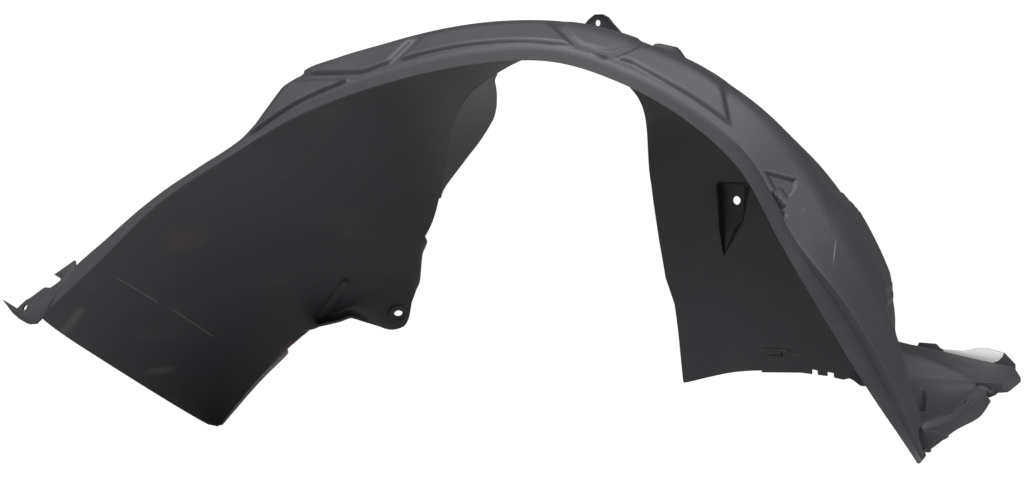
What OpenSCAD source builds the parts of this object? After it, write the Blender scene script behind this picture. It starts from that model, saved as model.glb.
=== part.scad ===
// Front wheel arch liner: one moulded sheet that closes the car's front wheel arch.
// +X runs to the front of the car, +Y inboard along the axle, +Z up.

/* [Sheet] */
// Wall thickness of the moulding
wall = 2.4; // [2:0.1:3]
// Cells of the sheet between two stations of the arch
station_cells = 5; // [4:1:7]
// Rounding where the band turns into the wall
shoulder_round = 14; // [8:1:20]
// Rounding where the wall turns into the inboard wall
corner_round = 45; // [25:1:55]

/* [Panels] */
// How far the stiffening panels stand proud of the band
panel_height = 1.8; // [1:0.1:3]

/* [Fixings] */
// Diameter of the screw hole in the rear foot
foot_hole_d = 7; // [5:0.5:9]
// Diameter of the screw hole in the rear ear
ear_hole_d = 9; // [6:0.5:12]
// Diameter of the raised ring round that hole
ear_ring_d = 26; // [20:1:32]
// Diameter of the clip hole in the inboard wall
clip_hole_d = 8; // [6:0.5:10]
// Diameter of the hole in the top lug
lug_hole_d = 6; // [4:0.5:8]

/* [Hidden] */

// The rim that lies behind the wing's edge, from the rear foot over the top to the front tip: X and Z.
rim = [
    [-479, 129], [-400, 184], [-323, 243], [-245, 285], [-164, 324], [-73, 351], [15, 366], [96, 367],
    [168, 345], [229, 311], [277, 268], [313, 205], [351, 143], [388, 85], [432, 23]];
// The flat strip beside the rim, how far it stands out past the rim.
strip_rise = [6, 6, 4, 4, 10, 11, 12, 12, 11, 11, 10, 9, 15, 14, 3];
strip_depth = 3;
// The step between that strip and the band, how far it comes back outboard.
strip_step = [0, 0, 0, 0, 0, 0, 0, 0, 0, 0, 1, 1, 6, 5, 0];
// How far the band stands out past the rim, and how deep it runs inboard.
band_rise = [17, 18, 8.5, 12, 43, 41, 38.5, 35, 35, 39, 39.5, 40, 36, 26, 7];
// Where the band steps up at its rear facet, and by how much it is steeper there than a smooth curve.
facet = [[3, 0], [3.2, -3], [3.4, -3], [3.8, 3], [4, 0]];
band_depth = [12, 12, 9, 13, 26, 32, 34, 34, 34, 36, 40, 44, 44, 36, 20];
// The corner between the wall and the inboard wall, from the station named first_corner on.
corner = [
    [98, 105, 379], [164, 176, 353], [220, 200, 304], [272, 206, 260], [315, 206, 208],
    [341, 205, 147], [333, 200, 104], [297, 196, 72]];
first_corner = 7;
// The free edge: along the rear wall, over the strut opening and down the inboard wall, then its foot.
edge_rear = [
    [-437, 260, 0], [-382, 262, 56], [-320, 262, 104], [-245, 257, 144], [-167, 240, 207],
    [-118, 205, 311], [-49, 150, 353], [40, 130, 377], [89, 196, 334], [96, 204, 250],
    [116, 205, 142], [123, 205, 63]];
edge_front = [[123, 205, 63], [181, 205, 75], [243, 203, 76], [285, 203, 71]];
// How far the sheet's two end rows bow, out at the rear foot and in behind the front tip.
foot_bow = 8;
front_bow = -26;
stations = len(rim) - 1;
foot_station = len(edge_rear) - 1;

// A smooth curve through the points of a list, u counting the points.
function along(list, u) =
    let (n = len(list) - 1, i = min(floor(u), n - 1), f = u - i, b = list[i], c = list[i + 1])
    let (a = i > 0 ? list[i - 1] : 2 * b - c, d = i + 2 <= n ? list[i + 2] : 2 * c - b)
    0.5 * (2 * b + (c - a) * f + (2 * a - 5 * b + 4 * c - d) * f * f
        + (3 * b - a - 3 * c + d) * f * f * f);
function free_edge(u) =
    u <= foot_station ? along(edge_rear, u) : along(edge_front, u - foot_station);
function unit(v) = v / norm(v);
// The part of v that is square to n, as a unit vector.
function square_to(n, v) = unit(v - n * (v * n));
// Outward from the arch, square to the rim.
function outward(u) =
    let (t = unit(along(rim, min(stations, u + 0.02)) - along(rim, max(0, u - 0.02))))
    [-t[1], 0, t[0]];
function rim_at(u) = let (p = along(rim, u)) [p[0], 0, p[1]];
function strip_at(u) = rim_at(u) + outward(u) * along(strip_rise, u) + [0, strip_depth, 0];
function shoulder(u) =
    rim_at(u) + outward(u) * (along(band_rise, u) + lookup(u, facet)) + [0, along(band_depth, u), 0];
function corner_at(u) =
    let (s = shoulder(u), mid = s + (free_edge(u) - s) * 0.45, f = max(0, u - first_corner + 1))
    u > first_corner ? along(corner, u - first_corner) : mid * (1 - f * f) + corner[0] * f * f;

// A bend at q between p and t, as points from one tangent to the other.
function bend(p, q, t, reach, cells) =
    let (a = q + unit(p - q) * min(reach, 0.45 * norm(p - q)))
    let (b = q + unit(t - q) * min(reach, 0.45 * norm(t - q)))
    [for (k = [0 : cells]) let (s = k / cells) a * (1 - s) * (1 - s) + q * 2 * s * (1 - s) + b * s * s];
function between(a, b, fractions) = [for (s = fractions) a + (b - a) * s];
// The band's points, from the rim to the wall.
function band(u) =
    let (r = rim_at(u), v = strip_at(u), step = along(strip_step, u))
    let (w = v + outward(u) * (1.5 + step) + [0, 1 - step, 0])
    let (turn = bend(w, shoulder(u), corner_at(u), shoulder_round, 3))
    concat([r, (r + v) / 2, v, w], between(w, turn[0], [1 / 3, 2 / 3]), turn);
// The wall's points, from the band to the free edge.
function wall_from(u, start) =
    let (c = corner_at(u), e = free_edge(u), turn = bend(shoulder(u), c, e, corner_round, 4))
    concat(between(start, turn[0], [0.25, 0.5, 0.75]), turn, between(turn[4], e, [0.25, 0.5, 0.75, 1]));
function section(u) = let (b = band(u)) concat(b, wall_from(u, b[len(b) - 1]));
// A row of the sheet: the section, bowed at the two ends.
function bowed(s, end, next, reach, from, to, power) =
    [for (k = [0 : len(s) - 1]) k <= from || k >= to ? s[k]
        : s[k] + unit(end[k] - next[k]) * reach * pow(sin(180 * (k - from) / (to - from)), power)];
function row(u) =
    u < 1 ? bowed(section(u), section(0), section(0.5), foot_bow * (1 - u) * (1 - u), 9, 21, 0.25)
    : u > stations - 1 ? bowed(section(u), section(stations), section(stations - 0.5),
        front_bow * pow(u - stations + 1, 2), 2, 14, 0.7)
    : section(u);

// A closed wall round a grid of points, reaching outer on one side of it and inner on the other.
function grid_normal(g, i, j) =
    let (m = len(g) - 1, n = len(g[0]) - 1)
    unit(cross(
        g[min(m, i + 1)][j] - g[max(0, i - 1)][j],
        g[i][min(n, j + 1)] - g[i][max(0, j - 1)]));
module walled(g, outer = wall / 2, inner = wall / 2) {
    m = len(g) - 1;
    n = len(g[0]) - 1;
    half = (m + 1) * (n + 1);
    at = function(i, j) i * (n + 1) + j;
    points = concat(
        [for (i = [0 : m], j = [0 : n]) g[i][j] + grid_normal(g, i, j) * outer],
        [for (i = [0 : m], j = [0 : n]) g[i][j] - grid_normal(g, i, j) * inner]);
    cells = [for (i = [0 : m - 1], j = [0 : n - 1]) [at(i, j), at(i, j + 1), at(i + 1, j + 1), at(i + 1, j)]];
    sides = concat(
        [for (i = [0 : m - 1]) [at(i, 0), at(i + 1, 0)]],
        [for (i = [0 : m - 1]) [at(i + 1, n), at(i, n)]],
        [for (j = [0 : n - 1]) [at(0, j + 1), at(0, j)]],
        [for (j = [0 : n - 1]) [at(m, j), at(m, j + 1)]]);
    polyhedron(points, concat(
        [for (c = cells) each [[c[0], c[1], c[3]], [c[1], c[2], c[3]]]],
        [for (c = cells) each [[half + c[0], half + c[3], half + c[1]], [half + c[1], half + c[3], half + c[2]]]],
        [for (s = sides) each [[s[0], s[1], half + s[0]], [s[1], half + s[1], half + s[0]]]]));
}

function steps(from, to, cells) = [for (k = [0 : cells]) from + (to - from) * k / cells];
// Rows of the sheet's own grid, between two stations.
function rows(from, to) =
    [for (k = [floor(from * station_cells) : ceil(to * station_cells)]) k / station_cells];

module sheet() {
    walled([for (u = rows(0, stations)) row(u)]);
}
// A prism along the axle, from an outline in side view: X and Z.
module side_prism(outline, from = -20, to = 80, grow = 0) {
    translate([0, to, 0]) rotate([90, 0, 0]) linear_extrude(to - from) offset(delta = grow) polygon(outline);
}

// Stiffening panels that stand proud of the band, each in side view: X and Z.
panels = [
    [[-231, 296], [-190, 356], [-180, 357], [-118, 357], [-116, 352], [-153, 338], [-186, 322], [-214, 308]],
    [[-182, 360], [-167, 372], [-137, 384], [-44, 400], [-42, 395], [-80, 367], [-92, 362], [-112, 359]],
    [[-114, 342], [-105, 355], [-82, 361], [-68, 354]],
    [[-76, 368], [-40, 395], [-36, 410], [80, 414], [87, 399], [110, 379], [75, 382], [34, 384], [-7, 381], [-38, 376]],
    [[112, 363], [126, 373], [147, 368], [154, 353]],
    [[147, 369], [164, 377], [182, 384], [230, 364], [256, 346], [262, 320], [257, 302], [244, 310],
        [220, 327], [173, 354]]];
// Grooves sunk into the band: along the panels' lower edges, and the hollow between two panels.
grooves = [
    [[-32, 369], [11, 374], [42, 375], [99, 372], [99, 370], [42, 372], [11, 371], [-32, 366]],
    [[162, 358], [183, 351], [199, 340], [195, 338], [178, 346], [162, 354]],
    [[89, 404], [88, 399], [111, 380], [140, 371], [152, 372], [168, 380], [168, 398]]];
groove_depth = 1;
module band_layer(from, to, outer, inner, outlines) {
    intersection() {
        walled([for (u = rows(from, to)) band(u)], outer, inner);
        for (p = outlines) side_prism(p);
    }
}
// A pocket pressed into the band: its outline in side view and its depth.
pockets = [
    [[[276, 266], [286, 264], [298, 249], [309, 232], [310, 226], [308, 219], [299, 230], [288, 248]], 6],
    [[[285, 269], [315, 259], [301, 252]], 5]];
// Lips that run inboard from the free edge: along the rear foot, and at the strut opening.
foot_lip = [[0.02, 6], [0.4, 8], [0.9, 11], [1.4, 13]];
strut_lip = [
    [4.3, 3], [4.4, 9], [4.6, 32], [4.8, 60], [5, 78], [5.2, 79], [5.4, 71], [5.6, 55], [5.8, 37],
    [6, 18], [6.15, 4]];
module lip(list) {
    walled([for (k = [0 : 0.5 : len(list) - 1]) let (at = along(list, k), e = free_edge(at[0]))
        between(e, e + [0, at[1], 0], [0, 0.5, 1])]);
}
module lips() {
    lip(foot_lip);
    lip(strut_lip);
}

// A flat ear in its own plane: a runs along it, b across it, and the outline is in a and b.
module plate(at, a, b, thick, outline) {
    n = cross(a, b);
    multmatrix([
        [a[0], b[0], n[0], at[0]], [a[1], b[1], n[1], at[1]], [a[2], b[2], n[2], at[2]], [0, 0, 0, 1]])
    translate([0, 0, -thick / 2]) {
        if (is_undef(outline)) children();
        else linear_extrude(thick) polygon(outline);
    }
}
// The rear ear's plane, with its outline and the middle of its screw hole.
ear_at = [-244, 256, 141];
ear_normal = unit([0.53, -0.69, -0.49]);
ear_a = square_to(ear_normal, [0.8, -0.12, 0.59]);
ear_b = cross(ear_normal, ear_a);
ear_outline = [
    [-76, 34], [-64, 24], [-53, 14], [-45, 7], [-36, 1], [-34, -4], [-32, -15], [-29, -30], [-28, -37],
    [-25, -44], [-20, -49], [-14, -52], [-7, -51], [0, -48], [12, -41], [17, -39], [27, -35], [38, -31],
    [55, -17], [68, -11], [62, 8], [20, 14], [-20, 28], [-50, 38]];
ear_hole = [-6, -38];
// The rear foot's plane, which is that of the strip there.
foot_at = [-479, 0, 129];
foot_a = unit([0.821, 0, 0.571]);
foot_b = square_to(foot_a, [-0.475, 0.554, 0.684]);
foot_outline = [
    [-35, 57], [-15, 29], [-2, 30], [5, 28], [24, 26], [27, 25], [34, 19], [49, 17], [49, 20], [41, 31],
    [71, 27], [71, 14], [40, 6], [18, -8], [9, -9], [0, -3], [-4, 1], [-13, 13], [-22, 28]];
foot_hole = [-4, 22];

// The under-tray flap, lofted through lines that run from the wall to its free end.
flap_lines = [
    [[426, 8, 27], [434, 22, 32], [441, 45, 43], [454, 80, 53], [459, 108, 63]],
    [[412, 30, 46], [424, 44, 50], [432, 72, 56], [440, 102, 63], [446, 130, 68]],
    [[408, 38, 54], [418, 50, 58], [427, 78, 64], [434, 107, 71], [436, 135, 76]],
    [[392, 66, 68], [398, 84, 66], [406, 102, 65], [416, 122, 67], [430, 146, 74]],
    [[362, 124, 94], [378, 132, 86], [398, 140, 80], [420, 148, 76], [450, 153, 74]],
    [[330, 174, 108], [356, 180, 99], [386, 178, 90], [420, 170, 81], [466, 160, 70]],
    [[320, 194, 116], [348, 196, 107], [385, 196, 98], [428, 195, 88], [460, 184, 84]]];
module flap() {
    walled([for (k = steps(0, 4, 16)) let (row = [for (line = flap_lines) along(line, k)])
        [for (j = [0 : 0.5 : len(row) - 1]) floor(j) == j ? row[j] : (row[floor(j)] + row[ceil(j)]) / 2]],
        wall / 2, wall / 2);
}

// The label's lip stands on the flap's inboard edge: X and Z of its outline.
label_lip_y = 196;
label_lip = [
    [345, 106], [364, 101], [361, 106], [377, 105], [386, 95], [404, 91], [430, 86], [440, 86],
    [448, 95], [456, 90], [460, 82], [456, 76], [440, 78], [420, 82], [385, 88], [345, 98]];
module flap_lip() {
    translate([0, label_lip_y + wall, 0]) rotate([90, 0, 0]) linear_extrude(wall) polygon(label_lip);
}

// The hook under the flap's inboard corner and the clip ear at the front tip: X and Z of their outlines.
hook = [[430, 80], [433, 74], [445, 63], [450, 66], [457, 69], [474, 73], [476, 80], [450, 84]];
clip_ear = [
    [421, 46], [428, 54], [434, 51], [449, 46], [451, 43], [441, 36], [435, 30], [430, 30], [430, 26],
    [425, 21], [421, 28]];
module flap_fittings() {
    side_prism(hook, 146, 146 + wall);
    difference() {
        side_prism(clip_ear, 18, 18 + wall);
        side_prism([[435, 41], [441, 45], [442, 43], [437, 39]]);
    }
}

// The clip pocket in the inboard wall: its outline in side view, and its floor.
clip_pocket = [[165, 254], [191, 254], [197, 246], [191, 212], [181, 196], [171, 182], [165, 188]];
pocket_floor = 214;
module pocket_body(profile, grow) {
    intersection() {
        translate([0, 0, 100]) linear_extrude(200) polygon(profile);
        side_prism(clip_pocket, 180, 230, grow);
    }
}
module clip_pocket_body() {
    back = pocket_floor + wall;
    pocket_body([[162, 204.8], [162, back], [188, back], [201, 204.8]], wall);
}
module clip_pocket_space() {
    pocket_body([[160, 190], [160, pocket_floor], [187, pocket_floor], [198, 203], [198, 190]], 0);
}

// What is cut out of the inboard wall's foot: a strap slot and two notches, X and Z.
foot_cuts = [
    [[209, 95], [225, 94], [225, 91], [209, 92]],
    [[253, 60], [254, 77], [260, 76], [261, 60]],
    [[268, 60], [269, 75], [276, 74], [277, 60]]];

// The lugs on top of the wall, for the clips of the wing's brace: X and Z of their outlines.
lug_y = 98;
lug = [
    [70, 368], [86, 396], [88, 406], [94, 411], [101, 411], [108, 405], [121, 393], [136, 385], [152, 376],
    [150, 360]];
far_lug = [[146, 352], [151, 374], [156, 379], [172, 376], [178, 370], [184, 352]];
module top_lugs() {
    side_prism(lug, lug_y - 3, lug_y);
    side_prism(far_lug, 92, 104);
}

module skin() {
    difference() {
        union() {
            sheet();
            band_layer(3.2, 10.2, wall / 2 + panel_height, 0, panels);
            for (p = pockets) intersection() {
                walled([for (u = rows(9.4, 11.2)) band(u)], 0, p[1] + wall);
                side_prism(p[0], grow = wall);
            }
            clip_pocket_body();
        }
        clip_pocket_space();
        for (c = foot_cuts) side_prism(c, 190, 215);
        band_layer(5, 9.2, 6, -(wall / 2 - groove_depth), grooves);
        for (p = pockets) intersection() {
            walled([for (u = rows(9.2, 11.4)) band(u)], 8, p[1]);
            side_prism(p[0]);
        }
    }
    lips();
    plate(ear_at, ear_a, ear_b, wall, ear_outline);
    plate(foot_at, foot_a, foot_b, wall, foot_outline);
    flap();
    flap_lip();
    flap_fittings();
    top_lugs();
}

// The frame's origin is the middle of the rear ear's screw hole.
ear_screw = ear_at + ear_a * ear_hole[0] + ear_b * ear_hole[1];
module placed() {
    translate(-ear_screw) children();
}
module hole(at, d) {
    translate([at[0], 0, at[1]]) rotate([90, 0, 0]) cylinder(d = d, h = 10, center = true, $fn = 48);
}

module arch_liner() {
    color([0.2, 0.2, 0.22]) placed() difference() {
        union() {
            resize([0, 0, 0]) skin();
            plate(ear_at, ear_a, ear_b, wall) translate([ear_hole[0], ear_hole[1], -1])
                cylinder(d = ear_ring_d, h = wall + 2, $fn = 64);
        }
        plate(ear_at, ear_a, ear_b, 0) translate([ear_hole[0], ear_hole[1], 0])
            cylinder(d = ear_hole_d, h = 20, center = true, $fn = 48);
        plate(foot_at, foot_a, foot_b, 0) translate([foot_hole[0], foot_hole[1], 0])
            cylinder(d = foot_hole_d, h = 20, center = true, $fn = 48);
        translate([0, pocket_floor, 0]) hole([177, 234], clip_hole_d);
        translate([0, lug_y, 0]) hole([96, 401], lug_hole_d);
    }
}

// A paper sticker on the outboard face of the flap's lip.
label_outline = [[386, 96], [388, 103], [402, 105], [420, 106], [441, 102], [446, 96], [440, 91], [428, 88]];
module part_label() {
    color("white") placed() side_prism(label_outline, label_lip_y - 0.3, label_lip_y);
}

arch_liner();
part_label();
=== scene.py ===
# %% [markdown]
# This file finishes a front wheel arch liner: the thin black plastic moulding that closes the
# space over a car's front wheel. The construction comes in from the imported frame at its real
# size, in metres. Here the moulding is built again with its fine relief, in the same place, and it
# gets its surface, its light and a camera at the angle of the photograph.

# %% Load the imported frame
import math

import bmesh
import bpy
import numpy as np
from mathutils import Matrix, Vector


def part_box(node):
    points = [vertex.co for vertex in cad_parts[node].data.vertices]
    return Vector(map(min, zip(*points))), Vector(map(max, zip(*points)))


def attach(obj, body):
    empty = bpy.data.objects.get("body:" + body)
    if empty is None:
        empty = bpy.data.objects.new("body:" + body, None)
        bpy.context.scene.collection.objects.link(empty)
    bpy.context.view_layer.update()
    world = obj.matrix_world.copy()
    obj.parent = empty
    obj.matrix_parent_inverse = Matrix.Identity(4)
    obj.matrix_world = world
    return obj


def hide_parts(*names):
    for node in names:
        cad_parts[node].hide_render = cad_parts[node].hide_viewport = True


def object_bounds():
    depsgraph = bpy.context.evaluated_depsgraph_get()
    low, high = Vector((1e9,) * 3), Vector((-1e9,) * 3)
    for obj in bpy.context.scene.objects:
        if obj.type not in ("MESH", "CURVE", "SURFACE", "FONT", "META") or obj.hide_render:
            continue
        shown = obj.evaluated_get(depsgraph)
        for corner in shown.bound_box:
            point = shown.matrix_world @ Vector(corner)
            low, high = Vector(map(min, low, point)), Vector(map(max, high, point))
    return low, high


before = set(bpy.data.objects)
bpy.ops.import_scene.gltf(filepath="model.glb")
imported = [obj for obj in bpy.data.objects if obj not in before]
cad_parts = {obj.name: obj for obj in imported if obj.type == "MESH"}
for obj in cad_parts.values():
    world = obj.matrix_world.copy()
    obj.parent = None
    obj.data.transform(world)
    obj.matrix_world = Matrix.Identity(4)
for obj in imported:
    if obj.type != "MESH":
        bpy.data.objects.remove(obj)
cad_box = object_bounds()
print("packed nodes", sorted(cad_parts))
liner_low, liner_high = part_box("arch_liner")
print("liner size in mm", [round(v * 1000) for v in liner_high - liner_low])

# %% [markdown]
# Shader maths reads best as Python expressions. `Channel` wraps one socket of a node tree, and
# each operator adds the Math node that does it, so `1 - mask` or `grain * 0.4` builds nodes.

# %% Channels of a material


class Channel:
    """One value in a material's node tree."""

    def __init__(self, material, socket):
        self.material = material
        self.socket = socket

    def _math(self, operation, first, second):
        return self.material.node(
            "ShaderNodeMath", {"operation": operation}, {0: first, 1: second}
        )

    def __add__(self, other):
        return self._math("ADD", self, other)

    __radd__ = __add__

    def __sub__(self, other):
        return self._math("SUBTRACT", self, other)

    def __rsub__(self, other):
        return self._math("SUBTRACT", other, self)

    def __mul__(self, other):
        return self._math("MULTIPLY", self, other)

    __rmul__ = __mul__

    def clamped(self):
        return self.material.node(
            "ShaderNodeClamp", {}, {"Value": self, "Min": 0.0, "Max": 1.0}
        )


print("a Channel takes +, - and *, from either side")

# %% [markdown]
# A finish is one material while it is being built. Its tree could be put together node by node and
# link by link, but a few helpers keep each material down to what it is made of: noise, ramps,
# mixed colours, bumps and the distance to a line.

# %% A material under construction


class Finish:
    """A material under construction: its node tree, its coordinates and its shader."""

    def __init__(self, name):
        self.material = bpy.data.materials.new(name)
        self.material.use_nodes = True
        self.tree = self.material.node_tree
        self.shader = self.tree.nodes["Principled BSDF"]
        self.place = self.node("ShaderNodeTexCoord", {}, {}, "Object")

    def node(self, kind, settings, inputs, output=0):
        made = self.tree.nodes.new(kind)
        for key, value in settings.items():
            if key == "stops":
                self._set_stops(made.color_ramp, value)
            else:
                setattr(made, key, value)
        for key, value in inputs.items():
            self._connect(made.inputs[key], value)
        return Channel(self, made.outputs[output])

    def _connect(self, target, value):
        if isinstance(value, Channel):
            self.tree.links.new(value.socket, target)
        else:
            target.default_value = value

    @staticmethod
    def _set_stops(ramp, stops):
        while len(ramp.elements) < len(stops):
            ramp.elements.new(0.5)
        for element, (position, level) in zip(ramp.elements, stops):
            element.position = position
            element.color = (level, level, level, 1.0)

    def set(self, **values):
        for name, value in values.items():
            self._connect(self.shader.inputs[name.replace("_", " ")], value)

    def noise(self, scale, detail=2.0, roughness=0.5, place=None):
        return self.node(
            "ShaderNodeTexNoise",
            {},
            {
                "Vector": place or self.place,
                "Scale": scale,
                "Detail": detail,
                "Roughness": roughness,
            },
            "Fac",
        )

    def ramp(self, value, *stops):
        return self.node("ShaderNodeValToRGB", {"stops": stops}, {"Fac": value})

    def colour(self, factor, first, second):
        return self.node(
            "ShaderNodeMix",
            {"data_type": "RGBA"},
            {"Factor": factor, 6: first, 7: second},
            2,
        )

    def stretched(self, scale):
        return self.node("ShaderNodeMapping", {}, {"Vector": self.place, "Scale": scale})

    def vector_math(self, operation, inputs, output=0):
        return self.node("ShaderNodeVectorMath", {"operation": operation}, inputs, output)

    def line_distance(self, start, end):
        """How far a place lies from the straight line between two points, in metres."""
        start, way = Vector(start), Vector(end) - Vector(start)
        offset = self.vector_math("SUBTRACT", {0: self.place, 1: start})
        share = self.vector_math("DOT_PRODUCT", {0: offset, 1: way / way.length_squared}, "Value")
        foot = self.vector_math("SCALE", {0: way, "Scale": share.clamped()})
        gap = self.vector_math("SUBTRACT", {0: offset, 1: foot})
        return self.vector_math("LENGTH", {0: gap}, "Value")

    def bump(self, height, strength, distance, under=None):
        inputs = {"Height": height, "Strength": strength, "Distance": distance}
        if under is not None:
            inputs["Normal"] = under
        return self.node("ShaderNodeBump", {}, inputs)


# %% [markdown]
# Handling and storage have marked the liner in a few places: thin pale scratches and soft smudges.
# A thin pale line also runs along a crease near the front. Two patches are painted light: a faint
# brown-red painted sheen near the rim at the rear, and a painted pale reflection along the rear
# lip, which ends in a reddish patch. A painted texture would need a picture, so each mark is a
# straight line between two places, with a width, in metres. The material works out how far each
# point of the surface lies from that line.

# %% Where the marks are
SCRATCH_WIDTH = 0.0007
SCRATCHES = (
    ((-0.1829, -0.2275, 0.0502), (-0.1728, -0.1751, 0.0228), SCRATCH_WIDTH),
    ((-0.1677, -0.1567, 0.0145), (-0.1594, -0.0992, -0.0173), SCRATCH_WIDTH),
    ((0.5526, -0.2695, 0.1115), (0.5559, -0.2615, 0.1179), SCRATCH_WIDTH),
    # A thin pale line along a crease on the front limb, drawn in the same way as the scratches.
    ((0.5796, -0.2513, 0.0908), (0.5851, -0.2754, 0.0625), SCRATCH_WIDTH),
)
SMUDGES = (
    ((-0.2185, -0.1266, -0.0514), (-0.2050, -0.1107, -0.0506), 0.006),
    ((-0.2273, -0.2306, 0.0176), (-0.2484, -0.2275, -0.0017), 0.007),
)
# A painted pale reflection along the rear lip, which ends in a reddish patch.
PAINTED_LIP_REFLECTION = ((-0.1494, -0.0101, -0.0611), (-0.1168, -0.0155, -0.0312), 0.013)
REDDISH_END = ((-0.1240, -0.0125, -0.0380), (-0.1140, -0.0155, -0.0290), 0.012)
# A painted brown-red sheen near the rim at the rear: a reflection laid into the colour.
PAINTED_SHEEN = ((-0.1164, -0.2164, 0.0877), (-0.1100, -0.2120, 0.0900), 0.022)


def marks(finish, ragged, lines):
    """One mask for several marks, with borders that a noise makes ragged."""
    mask = 0.0
    for start, end, width in lines:
        nearness = 1.0 - finish.line_distance(start, end) * (1.0 / width)
        mask = (nearness * (0.4 + ragged * 1.4)).clamped() + mask
    return mask


print("scratches and smudges", len(SCRATCHES), len(SMUDGES))

# %% [markdown]
# The liner is moulded polypropylene, dyed black. It isn't a pure black: in soft light it reads as
# a charcoal with a faint violet cast. The tool's surface leaves a fine grain, the melt's flow
# leaves broad, slightly glossier clouds, and dust stays in patches. Each of these is one mask of
# its own, and the marks are laid over them. The first number of a noise is how many of its waves
# fit in a metre, so the grain is finer than a millimetre and the clouds are wider than a hand.

# %% The black moulded plastic
DARK_TONE = (0.034, 0.0332, 0.0388, 1.0)
LIGHT_TONE = (0.046, 0.0448, 0.0515, 1.0)
DUST_TONE = (0.085, 0.081, 0.082, 1.0)
SCRATCH_TONE = (0.34, 0.33, 0.34, 1.0)
# Smudges, and the painted sheen and lip reflection: each with its lines, how strongly it is laid on
# and its tone.
SMUDGES_AND_PAINTED_SHEEN = (
    # The painted brown-red sheen.
    ([PAINTED_SHEEN], 0.45, (0.085, 0.055, 0.048, 1.0)),
    (SMUDGES, 0.5, (0.12, 0.115, 0.115, 1.0)),
    # The painted pale reflection along the rear lip, then the reddish patch at its end.
    ([PAINTED_LIP_REFLECTION], 0.6, (0.24, 0.19, 0.18, 1.0)),
    ([REDDISH_END], 0.7, (0.20, 0.045, 0.035, 1.0)),
)


def moulded_plastic():
    finish = Finish("moulded black plastic")
    grain = finish.noise(1400.0, 3.0, 0.6)
    pebble = finish.noise(420.0, 2.0, 0.5)
    clouds = finish.noise(7.0, 4.0, 0.55)
    streaks = finish.noise(1.0, 3.0, 0.6, finish.stretched((9.0, 90.0, 9.0)))
    ragged = finish.noise(260.0, 3.0, 0.7)
    scratches = marks(finish, ragged, SCRATCHES)
    dust = finish.ramp(finish.noise(16.0, 5.0, 0.65), (0.56, 0.0), (0.78, 1.0))
    colour = finish.colour(clouds, DARK_TONE, LIGHT_TONE)
    colour = finish.colour(dust * 0.3, colour, DUST_TONE)
    # The smudges and the painted sheen and reflection are laid over the colour here.
    for lines, strength, tone in SMUDGES_AND_PAINTED_SHEEN:
        colour = finish.colour(marks(finish, ragged, lines) * strength, colour, tone)
    colour = finish.colour(scratches.clamped() * 0.4, colour, SCRATCH_TONE)
    roughness = 0.46 + (clouds - 0.5) * 0.16 + (streaks - 0.5) * 0.10 + scratches * 0.1
    skin = finish.bump(grain, 0.22, 0.0002)
    skin = finish.bump(pebble, 0.12, 0.0006, skin)
    finish.set(Base_Color=colour, Roughness=roughness, Normal=skin, IOR=1.5)
    return finish.material


black_plastic = moulded_plastic()
print("nodes in the plastic", len(black_plastic.node_tree.nodes))

# %% [markdown]
# The sticker is plain coated paper. A pure white would look like a hole in the picture, so the
# paper has a faint tooth and a little yellowing.

# %% The sticker's paper


def sticker_paper():
    finish = Finish("sticker paper")
    tooth = finish.noise(900.0, 4.0, 0.6)
    ageing = finish.noise(30.0, 3.0)
    finish.set(
        Base_Color=finish.colour(ageing, (0.80, 0.79, 0.77, 1.0), (0.86, 0.86, 0.85, 1.0)),
        Roughness=0.55 + tooth * 0.1,
        Normal=finish.bump(tooth, 0.1, 0.0002),
    )
    return finish.material


bare_paper = sticker_paper()
print("nodes in the paper", len(bare_paper.node_tree.nodes))

# %% [markdown]
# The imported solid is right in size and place, but it is made of flat facets, and its pressed
# details are plain steps. The real liner is one sheet of plastic that flows everywhere: the panels
# swell out of the band with soft shoulders, and the wall runs on into the ears. So the moulding is
# built again here as fine grids that follow the same curves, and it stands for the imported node.
# The curves are drawn in millimetres from the middle of the wheel's axle line, and the last step
# moves them to the frame's origin, the middle of the rear ear's screw hole.

# %% Curves and units
MM = 0.001
WALL = 2.4
SCREW = np.array((-230.0, 283.2, 117.7))
MOST_OF_A_SIDE = 0.45


def along(points, u):
    """A smooth curve through the points, where u counts them."""
    points = np.asarray(points, float)
    last = len(points) - 1
    i = min(int(u), last - 1)
    f = u - i
    b, c = points[i], points[i + 1]
    a = points[i - 1] if i > 0 else 2 * b - c
    d = points[i + 2] if i + 2 <= last else 2 * c - b
    bow = (2 * a - 5 * b + 4 * c - d) * f * f + (3 * b - a - 3 * c + d) * f**3
    return 0.5 * (2 * b + (c - a) * f + bow)


def unit(v):
    return v / np.linalg.norm(v)


def arc(start, lead, end, cells):
    """A curve from start to end that is drawn towards lead."""
    steps = np.linspace(0, 1, cells + 1)
    return [start * (1 - s) ** 2 + lead * 2 * s * (1 - s) + end * s * s for s in steps]


def bend(p, q, t, reach, cells):
    """A rounded corner at q, on the way from p to t."""
    a = q + unit(p - q) * min(reach, MOST_OF_A_SIDE * np.linalg.norm(p - q))
    b = q + unit(t - q) * min(reach, MOST_OF_A_SIDE * np.linalg.norm(t - q))
    return arc(a, q, b, cells)


def between(a, b, cells):
    """Even steps from a to b, without either end."""
    return [a + (b - a) * k / cells for k in range(1, cells)]


print("wall in mm", WALL)

# %% [markdown]
# Everything hangs on the rim, the curve that lies behind the wing's edge, given as X and Z. Fifteen
# stations along it say how far the flat strip and the band stand out, how the strip steps up to
# the band and how deep the band runs inboard. A smooth curve through the stations gives every
# place in between, so the sheet needs few numbers and has no kinks. FACET adds the bump and the
# step that the band has near its rear end.

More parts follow.
